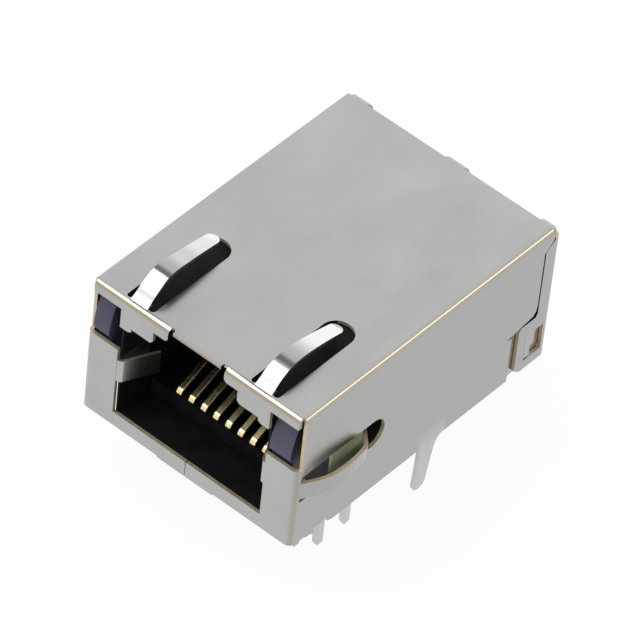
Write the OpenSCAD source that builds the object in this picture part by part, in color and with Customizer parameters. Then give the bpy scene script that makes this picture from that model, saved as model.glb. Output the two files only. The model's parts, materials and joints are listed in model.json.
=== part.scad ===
// Shielded right-angle board jack with two indicator lights, latch side up.
// Millimetres. +X right seen from the front, +Y to the rear, +Z up from the board.
// Sizes along Y are measured from the front face; the frame starts between the locating posts.

/* [Shield] */
// Width over the side walls
shell_w = 17.3; // [17.1:0.1:19]
// Length from the front face to the back plate
shell_l = 24.6; // [24:0.1:27]
// Height from the board to the top
shell_h = 11.4; // [11.3:0.1:12.4]
// Height of the front plate's lower edge above the board
front_low = 0.39; // [0.3:0.01:0.5]
// Thickness of the sheet
sheet = 0.25; // [0.2:0.01:0.3]
// Outside radius of the folds
fold_r = 0.45; // [0.4:0.01:0.6]

/* [Port] */
// Width of the plug opening
port_w = 12.2; // [11.8:0.1:12.4]
// Height of the sill's top edge above the board
sill_h = 1.5; // [1.4:0.05:1.6]
// Width of the latch slot, which is open to the fold
latch_w = 4.6; // [4:0.1:5]
// Width of the first step beside the latch slot
step_w = 6.9; // [6:0.1:7.4]
// Width of the second step
ear_w = 10.4; // [9:0.1:11]
// Depth of the flange at the first step
step_drop = 1; // [0.8:0.05:1.2]
// Depth of the flange at the second step
ear_drop = 2; // [1.8:0.05:2.2]
// Depth of the flange at the sides of the opening
flange_drop = 2.4; // [2.3:0.05:2.7]
// Depth of the plug cavity
port_depth = 12.6; // [12:0.1:13]

/* [Indicator lights] */
// Top edge of the light window, below the top
window_top = 0.85; // [0.7:0.05:1]
// Bottom edge of the light window, below the top
window_bottom = 4.45; // [4.2:0.05:4.7]
// Thickness of a square light lead
lead_t = 0.5; // [0.4:0.05:0.6]
// Distance of the light leads from the inner face of the side wall
lead_inset = 1; // [0.9:0.05:1.2]
// Depth of the front light lead
lead_y = 4.5; // [4.3:0.05:4.6]
// Length of the light leads below the board plane
lead_l = 3.55; // [3.3:0.05:3.8]
// Distance between the two leads of one light
lead_pitch = 2.54; // [2.3:0.02:2.6]

/* [Springs] */
// Distance of the top springs from the centre
spring_x = 5.07; // [4.9:0.01:5.2]
// Width of a spring finger at its root
spring_w = 1.35; // [1.2:0.05:1.5]
// Width of a spring finger near its tip
spring_tip_w = 1; // [0.8:0.05:1.1]
// Width of the slot round a spring finger
spring_slot_w = 2.24; // [2.1:0.02:2.3]
// Length of the slot from the front face
spring_slot_l = 8.35; // [8:0.05:8.8]
// Height of the side springs above the board
side_spring_z = 5.15; // [4.9:0.05:5.3]

/* [Contacts] */
// Distance between two contacts
contact_pitch = 1.016; // [0.95:0.001:1.02]
// Width of a contact
contact_w = 0.45; // [0.35:0.01:0.48]
// Thickness of a contact
contact_t = 0.3; // [0.25:0.01:0.35]
// Depth of the front bend of the contacts
contact_y = 3.15; // [2.9:0.05:3.4]
// Slope of the contacts, in degrees
contact_slope = 25; // [20:1:30]

/* [Board side] */
// Depth of the locating posts
post_y = 9.95; // [9.8:0.05:10.2]
// Distance between the locating posts
post_pitch = 11.43; // [11.2:0.01:11.6]
// Radius of a locating post
post_r = 1.5; // [1.4:0.05:1.7]
// Length of a locating post below the board plane
post_l = 3; // [2.4:0.1:3.2]
// Radius of a signal pin
pin_r = 0.25; // [0.2:0.01:0.3]
// Length of the signal pins below the board plane
pin_l = 3.4; // [3.2:0.1:3.5]
// Distance between two signal pins of one row
pin_pitch = 2.54; // [2.2:0.02:2.6]
// Distance of the front row of signal pins from the back plate
pin_back = 6.8; // [6.4:0.1:7.2]
// Length of the shield legs below the board plane
leg_l = 4.1; // [3.8:0.1:4.3]
// Width of a shield leg
leg_w = 1.15; // [1:0.05:1.3]
// Depth of the front edge of a shield leg
leg_y = 12.4; // [12.2:0.05:12.6]

/* [Hidden] */
$fn = 48;

half_w = shell_w / 2;
inner_w = half_w - sheet;
inner_top = shell_h - sheet;
clear = 0.05;
far = 40;

// Front face: the butt seam of the lower plates, their low middle and the flange's ends
seam = 0.06;
foot_w = 4.5;
foot_drop = 0.13;
flange_end = half_w - 0.3;
plate_top = shell_h - window_bottom;
relief_w = 0.35;
relief_l = 0.35;

// Ground tabs beside the plug opening
tab_low = shell_h - 7.15;
tab_high = shell_h - 5.35;
tab_in = 1.25;
tab_back = 2.3;

// Side wall: the corner, its nick, the notch at the light lead, the slit beside the leg
corner_low = 0.12;
corner_l = 0.9;
nick_h = 0.32;
wall_start = 2.2;
notch_h = 0.45;
notch_l = 1.4;
slit_w = 0.12;
rear_rise = 0.05;
leg_root = leg_y + 2.15;
leg_lean = 0.15;

// The back plate, the flanges level with the walls and the clips on their set-in ends
top_end = shell_l - 0.75;
plate_drop = 0.9;
bridge_r = 1;
seam_y = shell_l - 1.5;
seam_gap = 0.13;
clip_y = shell_l - 3.1;
clip_top = 4.15;
set_in = sheet + 0.03;
set_from = shell_l - 3.85;
set_to = shell_l - 3.5;
slit_tip = shell_l - 4.3;
window_y = shell_l - 2.3;
window_l = 1.7;
window_low = 0.8;
window_h = 2.2;

// Moulded body
body_y = sheet + clear;
body_w = inner_w - clear;
body_end = shell_l - sheet - clear;
body_low = 0.35;
body_top = inner_top - clear;
wall = 0.15;
cavity_w = port_w / 2 - 0.15;
light_x = cavity_w + wall;
light_end = spring_slot_l + 0.25;
bay_y = port_depth + 0.9;
base_low = 0.45;
base_top = 1.5;
insert_w = 5.6;
comb_top = 2.65;
comb_wall = 0.15;
shoulder_r = post_r + 0.7;

// Lights: the lenses leave room to the walls, and the bodies leave room for the side springs
lens_out_gap = 0.5;
lens_in_gap = 0.9;
body_out_gap = 0.55;
lead_x = inner_w - lead_inset;
light_front = lead_y - 0.35;
light_l = lead_pitch + 1;
light_low = 2.6;
light_high = shell_h - 1.3;

// Circuit module
pin_y = shell_l - pin_back;
board_z = 3;
board_t = 0.8;
board_w = 7.3;
board_y = bay_y + 0.7;
board_end = shell_l - 0.9;
board_l = board_end - board_y;
core_x = board_w / 2;
core_r = board_l * 0.16;
core_hole = core_r * 0.43;
core_h = core_r;
core_gap = 0.25;
wire_t = 0.18;
wire_w = 0.24;

function arc(cx, cy, r, from, to, n = 8) =
    [for (i = [0:n]) let (a = from + (to - from) * i / n) [cx + r * cos(a), cy + r * sin(a)]];

function heading(path, i) =
    let (d = path[min(i + 1, len(path) - 1)] - path[max(i - 1, 0)]) d / norm(d);

// Outline of a strip of thickness t whose middle follows a path
function ribbon(path, t) =
    let (side = [for (i = [0:len(path) - 1]) let (d = heading(path, i)) [-d[1], d[0]] * t / 2])
    concat(
        [for (i = [0:len(path) - 1]) path[i] + side[i]],
        [for (i = [len(path) - 1:-1:0]) path[i] - side[i]]
    );

// One span of a cubic curve from height a with slope sa to height b with slope sb
function cubic(u, run, a, sa, b, sb) =
    (2 * pow(u, 3) - 3 * pow(u, 2) + 1) * a + (pow(u, 3) - 2 * pow(u, 2) + u) * run * sa
    + (3 * pow(u, 2) - 2 * pow(u, 3)) * b + (pow(u, 3) - pow(u, 2)) * run * sb;

// A smooth curve through knots [distance, height], flat at its start
function slope_at(knots, i) =
    i == 0 ? 0 : (knots[min(i + 1, len(knots) - 1)][1] - knots[i - 1][1])
        / (knots[min(i + 1, len(knots) - 1)][0] - knots[i - 1][0]);

function curve(knots, n = 6) =
    concat([knots[0]], [for (i = [0:len(knots) - 2]) for (j = [1:n])
        let (u = j / n, run = knots[i + 1][0] - knots[i][0])
        [knots[i][0] + run * u,
            cubic(u, run, knots[i][1], slope_at(knots, i), knots[i + 1][1], slope_at(knots, i + 1))]]);

// Side views of the spring fingers: steep rise, crest, gentle fall to the tip
left_spring = [[0.3, 0], [0.7, 0.2], [1.45, 0.85], [2.5, 1.46], [4.6, 1.39], [6.3, 1.2], [7.45, 1.05]];
right_spring = [[0.3, 0], [0.7, 0.2], [1.4, 0.78], [2.5, 1.2], [4, 1.18], [5.8, 0.88], [7.45, 0.5]];
side_spring = [[0.3, 0], [0.7, 0.2], [1.45, 0.57], [2.34, 0.9], [3.8, 1.02], [5.1, 0.88], [5.9, 0.68],
    [6.6, 0], [7.1, -0.4]];

// A contact, from the circuit module forward under the comb, up and back over it
contact_run = base_top + contact_t / 2;
bend_r = 0.4;
bend_x = contact_y + contact_t / 2 + bend_r;
rise_z = contact_run + 2 * bend_r + 0.1;
tail_y = board_y + 0.6;
slope_start = [bend_x, rise_z] + bend_r * [-sin(contact_slope), cos(contact_slope)];
slope_l = 7;
contact_path = concat(
    [[tail_y, board_z]],
    arc(tail_y - bend_r, contact_run + bend_r, bend_r, 0, -90, 6),
    arc(bend_x, contact_run + bend_r, bend_r, 270, 180, 6),
    arc(bend_x, rise_z, bend_r, 180, 90 + contact_slope, 6),
    [slope_start + slope_l * [cos(contact_slope), sin(contact_slope)]]
);

module in_frame() translate([0, -post_y, 0]) children();

module along_y(from, to) translate([0, to, 0]) rotate([90, 0, 0]) linear_extrude(to - from) children();

module along_x(from, to) translate([from, 0, 0]) rotate([90, 0, 90]) linear_extrude(to - from) children();

module both_sides() {
    children();
    mirror([1, 0, 0]) children();
}

// A block with the shield's folds, pulled in by inset all round
module folded_block(inset, low) {
    w = half_w - inset;
    top = shell_h - inset;
    r = fold_r - inset;
    intersection() {
        along_y(-1, far) polygon(concat([[w, low], [w, top - r]], arc(w - r, top - r, r, 0, 90),
            arc(r - w, top - r, r, 90, 180), [[-w, low]]));
        along_x(-far, far) polygon(concat([[inset, low]], arc(inset + r, top - r, r, 180, 90),
            [[far - 1, top], [far - 1, low]]));
        translate([0, 0, low - 1]) linear_extrude(far) polygon(concat([[w, far - 2]],
            arc(w - r, inset + r, r, 0, -90), arc(r - w, inset + r, r, 270, 180), [[-w, far - 2]]));
    }
}

// Stepped opening for the plug and its latch, seen from the front
module port_outline(w, sill, top) {
    step = shell_h - step_drop;
    ear = shell_h - ear_drop;
    side = shell_h - flange_drop;
    right = [[w, sill], [w, side], [ear_w / 2 + 0.25, side], [ear_w / 2, side + 0.15], [ear_w / 2, ear],
        [step_w / 2 + 0.2, ear], [step_w / 2, ear + 0.2], [step_w / 2, step], [latch_w / 2 + 0.2, step],
        [latch_w / 2, step + 0.2], [latch_w / 2, top]];
    polygon(concat(right, [for (i = [len(right) - 1:-1:0]) [-right[i][0], right[i][1]]]));
}

module spring(knots) {
    reach = knots[len(knots) - 1][0];
    tip_r = spring_tip_w / 2;
    intersection() {
        along_x(-spring_w / 2, spring_w / 2) polygon(ribbon(curve(knots), sheet));
        translate([0, 0, -2]) linear_extrude(5) union() {
            polygon([[-spring_w / 2, 0], [spring_w / 2, 0], [tip_r, reach - tip_r], [-tip_r, reach - tip_r]]);
            translate([0, reach - tip_r]) circle(tip_r);
        }
    }
}

module spring_slot() {
    round_r = spring_slot_w / 2;
    end_r = (spring_slot_w - spring_w) / 4;
    difference() {
        linear_extrude(4) union() {
            translate([-round_r, fold_r + end_r])
                square([spring_slot_w, spring_slot_l - round_r - fold_r - end_r]);
            translate([0, spring_slot_l - round_r]) circle(round_r);
            for (side = [-1, 1]) translate([side * (round_r - end_r), fold_r + end_r]) circle(end_r);
        }
        translate([-spring_w / 2, 0, -1]) cube([spring_w, fold_r + 2 * end_r, 6]);
    }
}

// Rear edge of a side wall, from the slit over the clip to the top
wall_rear = [[slit_tip, 4.02], [slit_tip + 1.4, 4.27], [seam_y - 0.35, 4.45], [seam_y - 0.08, 4.75],
    [seam_y, 5.3], [seam_y, shell_h - 1.65], [seam_y + 0.72, shell_h - 1.05], [seam_y + 0.85, shell_h - 0.75],
    [seam_y + 0.7, shell_h - 0.3]];

// Outline of a side wall without its leg and its set-in end, seen from the side
module side_outline() {
    polygon(concat([[-1, front_low], [fold_r, front_low], [fold_r + 0.05, corner_low], [corner_l, corner_low],
        [corner_l + 0.1, nick_h], [corner_l + 0.45, nick_h], [corner_l + 0.65, 0.17],
        [wall_start - 0.3, 0.15],
        [wall_start, 0], [wall_start + 0.1, 0], [wall_start + 0.15, notch_h],
        [wall_start + notch_l - 0.25, notch_h], [wall_start + notch_l, 0.14],
        [wall_start + notch_l + 0.5, 0], [leg_y - slit_w, 0],
        [leg_y - slit_w + 0.02, 0.15], [leg_y, 0.15], [leg_y, 0], [leg_root, rear_rise], [17.05, rear_rise],
        [17.1, rear_rise + 0.1], [17.15, rear_rise], [set_from, rear_rise], [set_from, 3.95], [slit_tip, 3.98]],
        wall_rear, [[top_end, shell_h - 0.28], [top_end, shell_h + 1], [-1, shell_h + 1]]));
}

// Rear end of a side wall, set in by one sheet so that the clip lies level with the wall
module set_in_end() {
    x = half_w - sheet / 2;
    wedge = [[x, set_from - 0.3], [x, set_from], [x - set_in, set_to], [x - set_in, shell_l - 0.6]];
    difference() {
        linear_extrude(3.9) polygon(ribbon(wedge, sheet));
        translate([-far / 2, 0, -1]) cube([far, far, 1 + rear_rise]);
    }
    along_y(window_y + 0.06, window_y + 0.6)
        translate([x - set_in, window_low + 0.1]) square([set_in + sheet / 2 - 0.03, window_h - 0.15]);
}

// A leg, with the round fillet behind it and a slight lean inward
module leg() {
    fillet_r = 0.7;
    tip_r = leg_w / 2;
    root = leg_root - fillet_r;
    intersection() {
        along_y(leg_y, leg_root) polygon(ribbon([[half_w - sheet / 2, 0.6], [half_w - sheet / 2, -0.6],
            [half_w - sheet / 2 - leg_lean, -leg_l]], sheet));
        along_x(0, far) difference() {
            union() {
                polygon([[leg_y, tip_r - leg_l], [leg_y + leg_w, tip_r - leg_l], [root, -fillet_r],
                    [leg_root, rear_rise - 0.01], [leg_root, 0.5], [leg_y, 0.5]]);
                translate([leg_y + tip_r, tip_r - leg_l]) circle(tip_r);
            }
            translate([leg_root + 0.05, rear_rise - fillet_r - 0.02]) circle(fillet_r);
        }
    }
}

// A tab that leaves the edge of the opening, turns in, runs back and curls in at its end
module ground_tab() {
    x = port_w / 2;
    path = concat([[x + 0.2, sheet / 2]], arc(x - 0.05, sheet / 2 + 0.3, 0.3, -90, -150, 5),
        [[x - tab_in * 0.8, tab_back * 0.75], [x - tab_in, tab_back], [x - tab_in - 0.15, tab_back + 0.2]]);
    translate([0, 0, tab_low]) linear_extrude(tab_high - tab_low) polygon(ribbon(path, sheet * 0.8));
}

// Back plate, its side flanges and the clips with their windows
module back_plate() {
    front_edge = [[clip_y + 0.55, 0], [clip_y, 0.4], [clip_y, clip_top - 0.35], [clip_y + 0.15, clip_top],
        [seam_y - 0.05, clip_top],
        [seam_y + seam_gap, clip_top + 0.3], [seam_y + seam_gap, shell_h - 1.6],
        [seam_y + 0.72 + seam_gap, shell_h - 1.1], [seam_y + 0.85 + seam_gap, shell_h - plate_drop]];
    intersection() {
        difference() {
            linear_extrude(shell_h - plate_drop) back_section(clip_y - 1);
            translate([-far / 2, window_y, window_low]) cube([far, window_l, window_h]);
        }
        along_x(-far, far) polygon(concat(front_edge, [[far, shell_h - plate_drop], [far, 0]]));
    }
}

// Plan of the back plate and its side flanges
module back_section(from) {
    r = fold_r;
    w = half_w;
    end = shell_l;
    polygon(concat([[w, from]], arc(w - r, end - r, r, 0, 90), arc(r - w, end - r, r, 90, 180),
        [[-w, from], [sheet - w, from]], arc(r - w, end - r, r - sheet, 180, 90),
        arc(w - r, end - r, r - sheet, 90, 0), [[w - sheet, from]]));
}

// A bend that joins the top to the back plate
module bridge(from, to) {
    r = bridge_r;
    along_x(from, to) polygon(concat([[top_end - 0.3, shell_h]], arc(shell_l - r, shell_h - r, r, 90, 0),
        arc(shell_l - r, shell_h - r, r - sheet, 0, 90), [[top_end - 0.3, inner_top]]));
}

module shield() color("silver") in_frame() {
    difference() {
        union() {
            intersection() {
                difference() {
                    folded_block(0, 0);
                    folded_block(sheet, -5);
                }
                along_x(-far, far) side_outline();
            }
            translate([-latch_w / 2 + relief_w, clear, inner_top]) cube([latch_w - 2 * relief_w, 1, sheet]);
        }
        along_y(-1, sheet + fold_r) intersection() {
            port_outline(port_w / 2, sill_h, inner_top);
            translate([-half_w, 0]) square([shell_w, inner_top]);
        }
        both_sides() {
            translate([port_w / 2, -1, plate_top])
                cube([flange_end - port_w / 2, 2, window_bottom - window_top]);
            translate([flange_end, -1, plate_top]) cube([1, 1 + fold_r, far]);
            translate([port_w / 2 - 0.1, -1, plate_top]) cube([0.2, 2, window_bottom - flange_drop]);
            translate([latch_w / 2 - relief_w, -1, inner_top - 1]) cube([relief_w, 1 + relief_l, 3]);
            translate([spring_x, 0, inner_top - 1]) spring_slot();
            translate([inner_w - 1, 0, side_spring_z]) rotate([0, 90, 0]) spring_slot();
        }
        translate([-seam / 2, -1, -1]) cube([seam, 2, sill_h + 2]);
    }
    translate([-spring_x, 0, shell_h - sheet / 2]) spring(left_spring);
    translate([spring_x, 0, shell_h - sheet / 2]) spring(right_spring);
    both_sides() {
        along_y(0, sheet) polygon([[seam / 2, front_low + 0.1], [seam / 2, front_low - foot_drop],
            [foot_w / 2, front_low - foot_drop], [foot_w / 2 + 0.1, front_low], [foot_w / 2, front_low + 0.1]]);
        translate([half_w - sheet / 2, 0, side_spring_z]) rotate([0, 90, 0]) spring(side_spring);
        leg();
        ground_tab();
        set_in_end();
    }
    back_plate();
    bridge(fold_r - half_w, fold_r - half_w + 1.3);
    bridge(-0.4, 1.1);
    bridge(half_w - fold_r - 0.8, half_w - fold_r);
}

module housing() color("#151515") in_frame() {
    difference() {
        intersection() {
            folded_block(sheet + clear, body_low);
            along_x(-far, far) polygon([[0, 0], [0, shell_h], [top_end - 0.3, body_top],
                [body_end, shell_h - bridge_r - 0.1], [body_end, 0]]);
            linear_extrude(shell_h) polygon([[-half_w, 0], [half_w, 0], [half_w, body_end - 0.5],
                [body_w - 0.25, body_end], [0.25 - body_w, body_end], [-half_w, body_end - 0.5]]);
        }
        along_y(-1, port_depth) port_outline(cavity_w, sill_h, shell_h + 1);
        both_sides() {
            translate([light_x, -1, -1]) cube([far, light_end + 1, light_high + 0.35 + 1]);
            translate([light_x - 1, -1, tab_low - 0.2]) cube([3, 4, tab_high - tab_low + 0.4]);
            translate([inner_w - set_in - clear, set_from - 0.2, -1]) cube([far, far, clip_top + 1.3]);
        }
        translate([-insert_w - clear, contact_y - comb_wall - clear, base_low - clear])
            cube([2 * (insert_w + clear), bay_y - contact_y + 1, comb_top - base_low + 2 * clear]);
        translate([-board_w - 0.3, bay_y, -1]) cube([2 * board_w + 0.6, far, body_top - 0.5 + 1]);
    }
    both_sides() translate([post_pitch / 2, post_y, 0]) {
        cylinder(h = body_low + 0.1, r = shoulder_r);
        translate([0, 0, 0.6 - post_l]) cylinder(h = post_l - 0.5, r = post_r);
        translate([0, 0, -post_l]) cylinder(h = 0.6, r1 = post_r - 0.4, r2 = post_r);
    }
}

module contact_insert() color("#222222") in_frame() {
    difference() {
        union() {
            translate([-insert_w, contact_y - comb_wall, base_low])
                cube([2 * insert_w, bay_y - contact_y + comb_wall + 0.1, comb_top - base_low]);
            translate([-board_w, bay_y + clear, base_low])
                cube([2 * board_w, board_l + 0.6, base_top - base_low]);
        }
        for (i = [1:8]) translate([contact_x(i) - contact_w / 2 - 0.02, contact_y - 0.02, base_top])
            cube([contact_w + 0.04, far, far]);
        for (i = [1:8]) translate([signal_x(i), signal_y(i), -1]) cylinder(h = 4, r = pin_r + 0.02);
    }
}

function contact_x(i) = (i - 4.5) * contact_pitch;

module contact(i) color("gold") in_frame()
    along_x(contact_x(i) - contact_w / 2, contact_x(i) + contact_w / 2)
        polygon(ribbon(contact_path, contact_t));

// Two rows of four, the rear row half a pitch to the side
function signal_x(i) = (i <= 4 ? i - 2.75 : i - 6.25) * pin_pitch;
function signal_y(i) = i <= 4 ? pin_y : pin_y + pin_pitch;

module signal_pin(i) color("lightgray") in_frame() translate([signal_x(i), signal_y(i), 0]) {
    translate([0, 0, 0.2 - pin_l]) cylinder(h = board_z + pin_l - 0.2, r = pin_r);
    translate([0, 0, -pin_l]) cylinder(h = 0.2, r1 = pin_r - 0.1, r2 = pin_r);
}

// The lens leans back towards the top; its lower part stays behind the front plate
module lens(from, to) color("#4b4862") in_frame() {
    low_front = sheet + 0.2;
    face_low = plate_top + 0.4;
    along_x(from, to) polygon(concat([[light_front, light_low + 0.4], [light_front, light_high],
        [0.95, light_high]], [for (i = [0:8]) let (u = 1 - i / 8)
            [0.15 + 0.65 * u * u, face_low + (light_high - 0.15 - face_low) * u]],
        [[low_front, face_low - 0.3], [low_front, light_low + 0.4]]));
}

module light_body() color("#6f7f5a") in_frame()
    translate([light_x + 2 * clear, light_front, light_low])
        cube([inner_w - body_out_gap - light_x - 2 * clear, light_l, light_high - light_low]);

module lead(x, y) color("lightgray") in_frame() translate([x - lead_t / 2, y - lead_t / 2, 0]) {
    translate([0, 0, 0.2 - lead_l]) cube([lead_t, lead_t, light_low + lead_l - 0.2]);
    translate([0.1, 0.1, -lead_l]) cube([lead_t - 0.2, lead_t - 0.2, 0.2]);
}

module module_board() color("darkgreen") in_frame()
    translate([-board_w + 0.1, board_y, board_z]) cube([2 * board_w - 0.2, board_end - board_y, board_t]);

function core_place(i) =
    [(i <= 2 ? -1 : 1) * core_x, board_y + board_l * (0.24 + (i % 2) * 0.46), board_z + board_t + core_gap];

module choke_core(i) color("#3a3a3a") in_frame()
    translate(core_place(i)) difference() {
        cylinder(h = core_h, r = core_r);
        translate([0, 0, -1]) cylinder(h = core_h + 2, r = core_hole);
    }

// Turns of enamelled wire round one side of each core
module choke_winding(i) color("#a8532a") in_frame()
    translate(core_place(i)) for (turn = [0:7]) rotate([0, 0, turn * 34]) difference() {
        translate([core_hole - wire_t, -wire_w / 2, -wire_t])
            cube([core_r - core_hole + 2 * wire_t, wire_w, core_h + 2 * wire_t]);
        translate([core_hole - 0.02, -1, 0]) cube([core_r - core_hole + 0.02, 2, core_h]);
    }

module line_resistors() color("#2a2a2a") in_frame()
    for (i = [0:3]) translate([(i - 1.5) * 1.4 - 0.4, board_y + 0.15 + clear, board_z + board_t])
        cube([0.8, 0.45, 0.35]);

module surge_capacitor() color("#b89060") in_frame()
    translate([-0.9, board_end - 1.5, board_z + board_t]) cube([1.8, 1.2, 1.2]);

shield();
housing();
contact_insert();
for (i = [1:8]) contact(i);
lens(clear - inner_w, -light_x - lens_in_gap);  // led_lens_left
lens(light_x + clear, inner_w - lens_out_gap);  // led_lens_right
mirror([1, 0, 0]) light_body();  // led_body_left
light_body();  // led_body_right
lead(-lead_x, lead_y);  // led_lead_left_front
lead(-lead_x, lead_y + lead_pitch);  // led_lead_left_rear
lead(lead_x, lead_y);  // led_lead_right_front
lead(lead_x, lead_y + lead_pitch);  // led_lead_right_rear
for (i = [1:8]) signal_pin(i);
module_board();
for (i = [1:4]) choke_core(i);
for (i = [1:4]) choke_winding(i);
line_resistors();
surge_capacitor();
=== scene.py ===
import json
import math

import bpy
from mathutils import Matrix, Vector
from mathutils.bvhtree import BVHTree
from mathutils.geometry import area_tri, tessellate_polygon

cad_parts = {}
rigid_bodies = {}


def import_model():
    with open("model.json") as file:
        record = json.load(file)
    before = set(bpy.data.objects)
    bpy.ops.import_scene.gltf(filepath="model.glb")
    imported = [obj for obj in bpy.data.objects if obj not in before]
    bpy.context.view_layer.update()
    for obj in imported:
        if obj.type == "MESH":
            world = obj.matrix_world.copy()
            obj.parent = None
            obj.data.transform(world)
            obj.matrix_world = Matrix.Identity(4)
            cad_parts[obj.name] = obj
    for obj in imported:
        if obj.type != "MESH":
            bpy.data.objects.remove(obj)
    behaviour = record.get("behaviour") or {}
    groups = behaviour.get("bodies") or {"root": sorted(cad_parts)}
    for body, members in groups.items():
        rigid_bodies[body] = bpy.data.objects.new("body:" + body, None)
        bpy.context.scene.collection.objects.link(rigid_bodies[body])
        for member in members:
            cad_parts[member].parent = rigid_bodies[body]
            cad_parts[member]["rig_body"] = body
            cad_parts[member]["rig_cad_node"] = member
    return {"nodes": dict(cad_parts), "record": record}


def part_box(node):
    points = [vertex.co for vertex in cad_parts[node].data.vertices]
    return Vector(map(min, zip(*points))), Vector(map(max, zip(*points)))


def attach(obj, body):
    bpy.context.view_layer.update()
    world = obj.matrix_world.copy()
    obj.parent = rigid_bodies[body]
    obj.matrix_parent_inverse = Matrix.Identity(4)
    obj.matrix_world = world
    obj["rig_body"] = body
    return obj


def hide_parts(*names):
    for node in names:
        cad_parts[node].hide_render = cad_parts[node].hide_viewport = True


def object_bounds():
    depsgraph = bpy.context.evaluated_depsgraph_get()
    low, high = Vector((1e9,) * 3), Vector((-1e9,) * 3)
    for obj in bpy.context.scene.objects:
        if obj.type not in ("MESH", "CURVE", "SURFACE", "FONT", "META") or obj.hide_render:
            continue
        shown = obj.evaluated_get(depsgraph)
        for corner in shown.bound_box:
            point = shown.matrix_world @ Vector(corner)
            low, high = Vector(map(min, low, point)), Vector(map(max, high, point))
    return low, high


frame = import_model()
nodes = frame["nodes"]
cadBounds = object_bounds()
mm = 0.001

shellLow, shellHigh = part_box("shield")
front, back = shellLow.y, shellHigh.y
floorHeight = cadBounds[0][2]
# walls and top are measured at the rear, where no spring stands out, and the legs hang lowest
shellPoints = [corner.co for corner in nodes["shield"].data.vertices]
rearPoints = [spot for spot in shellPoints if spot.y > back - 2 * mm]
wall, top = max(spot.x for spot in rearPoints), max(spot.z for spot in rearPoints)
legFront = min(spot.y for spot in shellPoints if spot.z < -mm)
print("frame loaded:", len(nodes), "nodes")


class Sock:
    def __init__(self, tree, socket):
        self.tree = tree
        self.socket = socket

    def maths(self, kind, other, flipped=False):
        pair = (other, self) if flipped else (self, other)
        return node(self.tree, "ShaderNodeMath", {"operation": kind}, {0: pair[0], 1: pair[1]})

    def __add__(self, other):
        return self.maths("ADD", other)

    def __radd__(self, other):
        return self.maths("ADD", other, True)

    def __sub__(self, other):
        return self.maths("SUBTRACT", other)

    def __rsub__(self, other):
        return self.maths("SUBTRACT", other, True)

    def __mul__(self, other):
        return self.maths("MULTIPLY", other)

    def __rmul__(self, other):
        return self.maths("MULTIPLY", other, True)


def node(tree, kind, settings=None, inputs=None, output=0):
    made = tree.nodes.new(kind)
    for name, value in (settings or {}).items():
        if name == "ramp":
            elements = made.color_ramp.elements
            while len(elements) < len(value):
                elements.new(0.5)
            for stop, (where, colour) in zip(elements, value):
                stop.position = where
                stop.color = (*colour, 1)
        else:
            setattr(made, name, value)
    for name, value in (inputs or {}).items():
        if isinstance(value, Sock):
            tree.links.new(value.socket, made.inputs[name])
        else:
            made.inputs[name].default_value = value
    return Sock(tree, made.outputs[output])


def startMaterial(name, **fixed):
    material = bpy.data.materials.new(name)
    material.use_nodes = True
    tree = material.node_tree
    shader = tree.nodes["Principled BSDF"]
    for socket, value in fixed.items():
        shader.inputs[socket.replace("_", " ")].default_value = value
    return material, tree, shader


def noise(tree, scale, detail=3.0, stretch=(1, 1, 1)):
    where = node(tree, "ShaderNodeTexCoord", output="Object")
    placed = node(tree, "ShaderNodeMapping", None, {"Vector": where, "Scale": stretch})
    return node(tree, "ShaderNodeTexNoise", None, {"Vector": placed, "Scale": scale, "Detail": detail})


def ramp(tree, value, stops):
    return node(tree, "ShaderNodeValToRGB", {"ramp": stops}, {"Fac": value})


# places of the Mix node's colour sockets, whose names its other sockets share
mix = {"factor": 0, "first": 6, "second": 7, "result": 2}


def blend(tree, factor, first, second):
    inputs = {mix["factor"]: factor, mix["first"]: first, mix["second"]: second}
    return node(tree, "ShaderNodeMix", {"data_type": "RGBA"}, inputs, mix["result"])


def feed(tree, socket, value):
    tree.links.new(value.socket, socket)


def bump(tree, shader, height, strength, distance):
    inputs = {"Height": height, "Strength": strength, "Distance": distance}
    feed(tree, shader.inputs["Normal"], node(tree, "ShaderNodeBump", None, inputs))


def along(tree, axis):
    where = node(tree, "ShaderNodeTexCoord", output="Object")
    return node(tree, "ShaderNodeSeparateXYZ", None, {"Vector": where}, axis)


# 1 between low and high, 0 outside them, with soft ends
def band(tree, value, low, high, soft):
    rise, fall = (
        node(tree, "ShaderNodeMapRange", {"clamp": True},
             {"Value": value, "From Min": end - soft, "From Max": end + soft, "To Min": before, "To Max": after})
        for end, before, after in ((low, 0.0, 1.0), (high, 1.0, 0.0)))
    return rise * fall


# satin nickel: cloudy plating and fine rolling lines along the strip; painted shade darkens the outer walls, a
# painted reflection lays a darker warm band down the front vertical fold, and a warm tint on the top folds
# colours their highlights cream
nickel = {
    "dark": (0.425, 0.424, 0.42), "light": (0.468, 0.467, 0.463), "stops": (0.32, 0.68),
    "side": (0.38, 0.379, 0.376), "sideShare": 0.8, "corner": (0.36, 0.315, 0.23), "cornerReflectionShare": 0.75,
    "fold": (0.45, 0.40, 0.325), "lipHighlightTint": (0.40, 0.335, 0.25),
    "tin": (0.56, 0.56, 0.555), "tinShare": 0.35, "tinStreaks": 0.9,
    "rough": 0.22, "cloudWear": 0.10, "tinWear": 0.12, "foldPolish": 0.09,
    "cloud": 260, "streak": 1600, "rolled": 2600, "pitted": 900,
    "pitShare": 0.8, "streakDepth": 3.0, "bumpStrength": 0.12, "bumpHeight": 0.000004,
}
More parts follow.
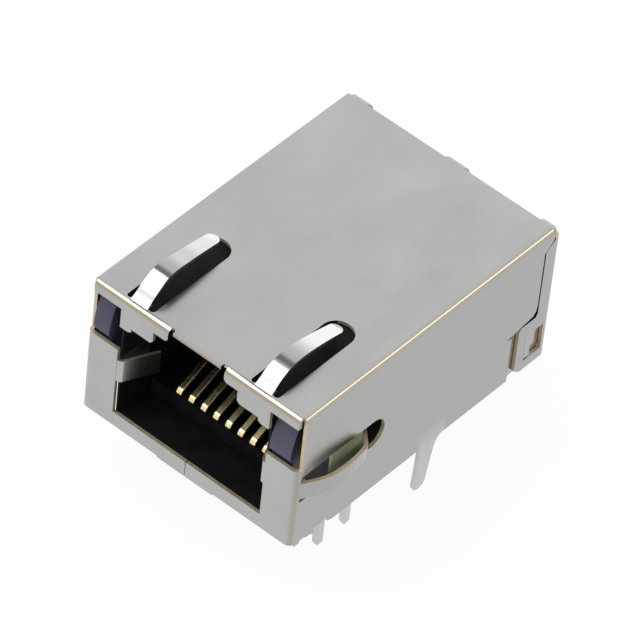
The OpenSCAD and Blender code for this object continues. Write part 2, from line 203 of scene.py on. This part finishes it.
# low end, high end and softness of each zone: sideways from the middle, deep from front to back, or high
nickelZones = {
    "shadedOuterWall": (wall - 0.04 * mm, wall + 10 * mm, 0.03 * mm),
    "cornerSideways": (wall - 0.23 * mm, wall + 0.35 * mm, 0.12 * mm),
    "cornerDeep": (front - mm, front + 0.3 * mm, 0.14 * mm),
    "foldHigh": (top - 0.3 * mm, top - 0.04 * mm, 0.06 * mm),
    "foldRight": (wall - 0.29 * mm, wall + 0.35 * mm, 0.06 * mm),
    "foldDeep": (front - mm, front + 0.3 * mm, 0.06 * mm),
    "legDeep": (legFront - 0.15 * mm, legFront + 2.35 * mm, 0.25 * mm),
    "legHigh": (-6 * mm, 0.6 * mm, 0.9 * mm),
}


def nickelSheet():
    material, tree, shader = startMaterial("satinNickel", Metallic=1.0)
    right, deep, high = (along(tree, axis) for axis in "XYZ")
    sideways = node(tree, "ShaderNodeMath", {"operation": "ABSOLUTE"}, {0: right})

    def zone(value, name):
        return band(tree, value, *nickelZones[name])

    def tint(plate, share, name):
        return blend(tree, share, plate, (*nickel[name], 1))

    cloud = noise(tree, nickel["cloud"], 5.0, (1, 0.6, 1))
    plate = ramp(tree, cloud, list(zip(nickel["stops"], (nickel["dark"], nickel["light"]))))
    # painted shade: the outer walls take a darker colour
    plate = tint(plate, zone(sideways, "shadedOuterWall") * nickel["sideShare"], "side")
    # painted reflection: a darker, warmer band down the front vertical fold
    corner = zone(sideways, "cornerSideways") * zone(deep, "cornerDeep")
    plate = tint(plate, corner * nickel["cornerReflectionShare"], "corner")
    # a warm tint on the top folds colours the lamp highlights there cream
    upper = zone(high, "foldHigh")
    across, lengthwise = zone(right, "foldRight"), zone(deep, "foldDeep")
    plate = tint(plate, across * upper, "fold")
    plate = tint(plate, lengthwise * upper, "lipHighlightTint")
    streak = noise(tree, nickel["streak"], 3.0, (1, 1, 0.15))
    dipped = zone(deep, "legDeep") * zone(high, "legHigh")
    plate = tint(plate, dipped * (streak * nickel["tinStreaks"] + nickel["tinShare"]), "tin")
    feed(tree, shader.inputs["Base Color"], plate)
    worn = cloud * nickel["cloudWear"] + dipped * nickel["tinWear"] + (nickel["rough"] - nickel["cloudWear"] / 2)
    feed(tree, shader.inputs["Roughness"], worn - (across + lengthwise) * upper * nickel["foldPolish"])
    rolled = noise(tree, nickel["rolled"], 2.0, (1, 0.06, 1))
    pitted = noise(tree, nickel["pitted"], 3.0) * nickel["pitShare"]
    bump(tree, shader, rolled + pitted + dipped * streak * nickel["streakDepth"],
         nickel["bumpStrength"], nickel["bumpHeight"])
    return material


# the bump's noise is finer than the cloud's, and wear is how far the cloud moves the roughness
cloudStops = (0.3, 0.7)
metalGrain = {"wear": 0.12, "finer": 9, "bumpStrength": 0.25}
plasticGrain = {"wear": 0.2, "finer": 12, "bumpStrength": 0.3, "bumpHeight": 0.000006, "coatRough": 0.15}


def metal(name, dark, light, rough, grain, bumpHeight=0.000004, metallic=1.0):
    material, tree, shader = startMaterial(name, Metallic=metallic)
    cloud = noise(tree, grain, 4.0)
    feed(tree, shader.inputs["Base Color"], ramp(tree, cloud, list(zip(cloudStops, (dark, light)))))
    feed(tree, shader.inputs["Roughness"], cloud * metalGrain["wear"] + (rough - metalGrain["wear"] / 2))
    bump(tree, shader, noise(tree, grain * metalGrain["finer"], 2.0), metalGrain["bumpStrength"], bumpHeight)
    return material


# each zone is an axis, its low end, its high end and its softness in mm, and the colour it takes
def plastic(name, dark, light, rough, grain, coat=0.0, gloss=0.5, zones=()):
    material, tree, shader = startMaterial(name, Coat_Weight=coat, Coat_Roughness=plasticGrain["coatRough"],
                                           Specular_IOR_Level=gloss)
    cloud = noise(tree, grain, 4.0)
    colour = ramp(tree, cloud, list(zip(cloudStops, (dark, light))))
    for axis, low, high, soft, tone in zones:
        share = band(tree, along(tree, axis), low * mm, high * mm, soft * mm)
        colour = blend(tree, share, colour, (*tone, 1))
    feed(tree, shader.inputs["Base Color"], colour)
    feed(tree, shader.inputs["Roughness"], cloud * plasticGrain["wear"] + (rough - plasticGrain["wear"] / 2))
    bump(tree, shader, noise(tree, grain * plasticGrain["finer"], 2.0), plasticGrain["bumpStrength"],
         plasticGrain["bumpHeight"])
    return material


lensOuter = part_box("led_lens_right")[1].x / mm
lightLow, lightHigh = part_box("led_body_right")
lightFront, lightTop = lightLow.y / mm, lightHigh.z / mm
# painted shade: the lens's outer side face takes a near-black colour
lensSideShade = ("X", lensOuter - 0.03, lensOuter + 1.1, 0.02, (0.020, 0.019, 0.028))
# painted highlights: pale bands along the front and top edges of the green light
frontEdgeHighlight = ("Y", lightFront - 0.1, lightFront + 0.18, 0.04, (0.75, 0.80, 0.42))
topEdgeHighlight = ("Z", lightTop - 0.12, lightTop + 0.1, 0.03, (0.75, 0.80, 0.5))
blackPair = (0.004, 0.004, 0.0045), (0.009, 0.009, 0.0095)
tinPair = (0.50, 0.50, 0.49), (0.62, 0.62, 0.61)
looks = {
    "nickel_sheet": nickelSheet(),
    "black_body": plastic("blackBody", *blackPair, 0.6, 700, gloss=0.12),
    "black_insert": plastic("blackInsert", *blackPair, 0.6, 700, gloss=0.1),
    "gold_contact": metal("goldPlate", (0.82, 0.64, 0.32), (0.96, 0.82, 0.52), 0.26, 1500),
    "violet_lens": plastic("violetLens", (0.050, 0.046, 0.086), (0.066, 0.060, 0.110), 0.4, 500,
                           coat=0.15, gloss=0.35, zones=[lensSideShade]),
    "clear_light": plastic("clearLight", (0.30, 0.30, 0.20), (0.40, 0.40, 0.28), 0.3, 500, coat=0.5),
    "green_light": plastic("greenLight", (0.31, 0.35, 0.19), (0.42, 0.46, 0.28), 0.3, 500,
                           coat=0.3, zones=[frontEdgeHighlight, topEdgeHighlight]),
    "tinned_lead": metal("tinnedLead", *tinPair, 0.34, 1200),
    "tinned_pin": metal("tinnedPin", *tinPair, 0.34, 1200),
    "board_laminate": plastic("boardLaminate", (0.01, 0.10, 0.03), (0.02, 0.15, 0.05), 0.4, 600),
    "ferrite": plastic("ferrite", (0.03, 0.03, 0.033), (0.05, 0.05, 0.055), 0.6, 900),
    "enamel_wire": metal("enamelWire", (0.45, 0.15, 0.06), (0.60, 0.24, 0.10), 0.3, 1500),
    "resistor_ceramic": plastic("resistorCeramic", (0.02, 0.02, 0.02), (0.04, 0.04, 0.04), 0.4, 900),
    "capacitor_ceramic": plastic("capacitorCeramic", (0.35, 0.24, 0.12), (0.45, 0.32, 0.18), 0.5, 900),
}
# painted highlight: a pale, barely metallic colour for the rounds along the spring slots
slotEdgeHighlight = plastic("slotEdgeHighlight", (0.62, 0.55, 0.42), (0.78, 0.71, 0.56), 0.5, 1500)
# painted shade: a near-black metal for the sides of the spring fingers
fingerSideShade = metal("fingerSideShade", (0.06, 0.054, 0.055), (0.09, 0.083, 0.085), 0.4, 1500)
# painted shade: a near-black colour for cut edges that face a narrow slit
slitShadeEdge = metal("shadedCutEdge", (0.02, 0.017, 0.014), (0.035, 0.03, 0.024), 0.45, 1500)
cutEdge = metal("brassCutEdge", (0.50, 0.41, 0.25), (0.68, 0.58, 0.40), 0.42, 1500, 0.000008, 0.6)
slotOf = {entry["node"]: entry["material_slot"] for entry in frame["record"]["subparts"]}
for name, thing in nodes.items():
    thing.data.materials.clear()
    thing.data.materials.append(looks[slotOf[name]])
print("materials on the carried-over nodes")

# finished copies: merged faces, small rounds in mm and even normals; narrow faces hold their rounds back
rounds = {"shield": 0.05, "housing": 0.05, "contact_insert": 0.04, "led_lens_left": 0.08, "led_lens_right": 0.08,
          "led_body_left": 0.12, "led_body_right": 0.12}
rounds.update({name: 0.05 for name in nodes if name.startswith("contact_") and name != "contact_insert"})
rounds.update({name: 0.04 for name in nodes if name.startswith("led_lead_")})
finish = {"weld": 0.000001, "flatWithin": math.radians(0.2), "roundOver": math.radians(40), "segments": 2,
          "smoothWithin": math.radians(25), "areaWeight": 100}


def finishedCopy(name, width):
    bpy.ops.object.select_all(action="DESELECT")
    source = nodes[name]
    source.select_set(True)
    bpy.context.view_layer.objects.active = source
    bpy.ops.object.duplicate()
    copy = bpy.context.object
    copy.name = name + "_finished"
    bpy.ops.object.parent_clear(type="CLEAR_KEEP_TRANSFORM")
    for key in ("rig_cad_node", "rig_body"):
        del copy[key]
    bpy.ops.object.mode_set(mode="EDIT")
    bpy.ops.mesh.select_all(action="SELECT")
    bpy.ops.mesh.remove_doubles(threshold=finish["weld"])
    bpy.ops.mesh.dissolve_limited(angle_limit=finish["flatWithin"])
    bpy.ops.object.mode_set(mode="OBJECT")
    soften = copy.modifiers.new("edges", "BEVEL")
    soften.width = width * mm
    soften.segments = finish["segments"]
    soften.limit_method = "ANGLE"
    soften.angle_limit = finish["roundOver"]
    soften.use_clamp_overlap = True
    bpy.ops.object.modifier_apply(modifier="edges")
    bpy.ops.object.shade_smooth_by_angle(angle=finish["smoothWithin"])
    even = copy.modifiers.new("even", "WEIGHTED_NORMAL")
    even.weight = finish["areaWeight"]
    even.keep_sharp = True
    bpy.ops.object.modifier_apply(modifier="even")
    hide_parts(name)
    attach(copy, "root")
    return copy


# the middle of a face's largest triangle lies on the face, also where the face bends round an opening
def insidePoint(mesh, face):
    corners = [mesh.vertices[index].co for index in face.vertices]
    triangles = tessellate_polygon([corners])
    largest = max(triangles, key=lambda triangle: area_tri(*(corners[index] for index in triangle)))
    return sum((corners[index] for index in largest), Vector()) / 3


# the sheet's cut edges are told from its broad faces by place, by facing and by the depth behind them; the
# rounds along the spring slots get a painted highlight, and the sides of the spring fingers and the edges facing
# a narrow slit get painted shade
cuts = {
    "broadFaces": ((0, wall - 0.65 * mm, wall + 0.35 * mm), (2, top - 0.5 * mm, top + 0.6 * mm)),
    "facing": 0.6, "endPlate": 0.4 * mm, "start": 0.01 * mm, "sheet": 0.25 * mm, "sheets": 1.6,
    "litHigh": top - 0.2 * mm, "litSideways": wall - 1.65 * mm, "litLean": 0.3, "litRise": (0.3, 0.95),
    "fingerHigh": top - 0.9 * mm, "wallSideways": wall - 0.65 * mm, "slitGap": 0.4 * mm,
    "legHigh": 0.1 * mm, "legDeep": (legFront - 0.45 * mm, legFront + 3.55 * mm),
}
plated, cut, shadedSlit, paintedHighlight, shadedFinger = range(5)


def edgeKind(solid, spot, normal):
    sideways = abs(spot.x)
    leaning = normal.x < -cuts["litLean"] and cuts["litRise"][0] < normal.z < cuts["litRise"][1]
    if spot.z > cuts["litHigh"] and sideways < cuts["litSideways"] and leaning:
        return paintedHighlight
    if any(low < abs(spot[axis]) < high and abs(normal[axis]) > cuts["facing"]
           for axis, low, high in cuts["broadFaces"]):
        return plated
    nearEnd = spot.y < front + cuts["endPlate"] or spot.y > back - cuts["endPlate"]
    if abs(normal.y) > cuts["facing"] and nearEnd:
        return plated
    thickness = solid.ray_cast(spot - normal * cuts["start"], -normal)[3]
    if thickness is None or thickness <= cuts["sheet"] * cuts["sheets"]:
        return plated
    if spot.z < cuts["legHigh"] and cuts["legDeep"][0] < spot.y < cuts["legDeep"][1]:
        return plated
    # the sides of the spring fingers get the painted shade
    if (spot.z > cuts["fingerHigh"] and abs(normal.x) > cuts["facing"]
            and sideways < cuts["wallSideways"] and spot.y < 0):
        return shadedFinger
    # cut edges close to another sheet get the painted shade of a narrow slit
    gap = solid.ray_cast(spot + normal * cuts["start"], normal)[3]
    if gap is not None and gap < cuts["slitGap"] and sideways > cuts["wallSideways"]:
        return shadedSlit
    return cut


def paintCutEdges(piece):
    solid = BVHTree.FromObject(piece, bpy.context.evaluated_depsgraph_get())
    for material in (cutEdge, slitShadeEdge, slotEdgeHighlight, fingerSideShade):
        piece.data.materials.append(material)
    for face in piece.data.polygons:
        face.material_index = edgeKind(solid, insidePoint(piece.data, face), face.normal)


finished = {name: finishedCopy(name, width) for name, width in rounds.items()}
paintCutEdges(finished["shield"])
print("finished copies:", len(finished))

# stage: a pale floor that keeps the shadow, and a surround that is white where it is seen or mirrored
stage = {"size": 1.6, "colour": (0.86, 0.86, 0.86), "whiteShare": 0.95}
bpy.ops.object.select_all(action="DESELECT")
bpy.ops.mesh.primitive_plane_add(size=stage["size"], location=(0, 0, floorHeight))
floor = bpy.context.object
floor.name = "floor"
material, tree, shader = startMaterial("paleFloor", Roughness=0.9)
shader.inputs["Base Color"].default_value = (*stage["colour"], 1)
glow = node(tree, "ShaderNodeEmission", None, {"Color": (1, 1, 1, 1), "Strength": 1.0})
seen, mirrored = (node(tree, "ShaderNodeLightPath", output=ray) for ray in ("Is Camera Ray", "Is Glossy Ray"))
mixed = node(tree, "ShaderNodeMixShader", None, {0: (seen + mirrored) * stage["whiteShare"], 2: glow})
tree.links.new(shader.outputs[0], mixed.socket.node.inputs[1])
tree.links.new(mixed.socket, tree.nodes["Material Output"].inputs["Surface"])
floor.data.materials.append(material)

world = bpy.data.worlds.new("surround")
bpy.context.scene.world = world
world.use_nodes = True
tree = world.node_tree
surround = {"light": 0.75}
background = tree.nodes["Background"]
background.inputs["Color"].default_value = (surround["light"],) * 3 + (1,)
white = node(tree, "ShaderNodeBackground", None, {"Color": (1, 1, 1, 1), "Strength": 1.0})
seen, mirrored, passed = (node(tree, "ShaderNodeLightPath", output=ray)
                          for ray in ("Is Camera Ray", "Is Glossy Ray", "Is Transmission Ray"))
share = node(tree, "ShaderNodeMath", {"operation": "ADD", "use_clamp": True}, {0: seen + mirrored, 1: passed})
mixed = node(tree, "ShaderNodeMixShader", None, {0: share, 2: white})
tree.links.new(background.outputs[0], mixed.socket.node.inputs[1])
tree.links.new(mixed.socket, tree.nodes["World Output"].inputs["Surface"])

# the camera, the lamps and the dark card all point at aim
aim = Vector((0.000226, 0.001923, 0.005759))


def placeFrom(towards, distance):
    return aim + Vector(towards).normalized() * distance


def faceAim(thing):
    thing.rotation_euler = (aim - thing.location).to_track_quat("-Z", "Y").to_euler()


lampDistance = 0.60
lamps = {
    "overheadPanel": {"towards": (-0.426, -0.389, 0.823), "size": 0.34, "watts": 1.05, "colour": (1, 1, 1)},
    "backPanel": {"towards": (-0.42, 0.807, 0.415), "size": 0.24, "watts": 0.22, "colour": (1, 1, 1)},
    "foldLamp": {"towards": (0.707, 0.568, 0.42), "size": 0.14, "watts": 0.12, "colour": (1, 0.96, 0.9)},
}
for name, lamp in lamps.items():
    bpy.ops.object.light_add(type="AREA", location=placeFrom(lamp["towards"], lampDistance))
    made = bpy.context.object
    made.name = name
    made.data.size = lamp["size"]
    made.data.energy = lamp["watts"]
    made.data.color = lamp["colour"]
    faceAim(made)

# a dark card overhead, seen in the metal alone, shapes the crests of the springs
card = {"towards": (-0.426, 0.13, 0.897), "distance": 0.5, "size": 0.2, "colour": (0.20, 0.185, 0.18)}
bpy.ops.mesh.primitive_plane_add(size=card["size"], location=placeFrom(card["towards"], card["distance"]))
darkCard = bpy.context.object
darkCard.name = "darkCard"
faceAim(darkCard)
material, tree, shader = startMaterial("cardBlack", Roughness=0.9)
shader.inputs["Base Color"].default_value = (*card["colour"], 1)
darkCard.data.materials.append(material)
darkCard.visible_camera = False
darkCard.visible_shadow = False
darkCard.visible_diffuse = False

# camera: long lens, above the front right corner, rolled a little
camera = {"azimuth": 36.466, "elevation": 45.078, "roll": 6.566, "distance": 0.442144, "lens": 400, "clipEnd": 5}
azimuth, elevation = math.radians(camera["azimuth"]), math.radians(camera["elevation"])
outward = Vector((math.sin(azimuth) * math.cos(elevation), -math.cos(azimuth) * math.cos(elevation),
                  math.sin(elevation)))
bpy.ops.object.camera_add(location=aim + outward * camera["distance"])
eye = bpy.context.object
eye.data.lens = camera["lens"]
eye.data.clip_end = camera["clipEnd"]
eye.rotation_euler = outward.to_track_quat("Z", "Y").to_euler()
eye.rotation_euler.rotate_axis("Z", math.radians(camera["roll"]))
bpy.context.scene.camera = eye
bpy.context.scene.view_settings.view_transform = "Standard"
print("stage, lamp and camera ready")
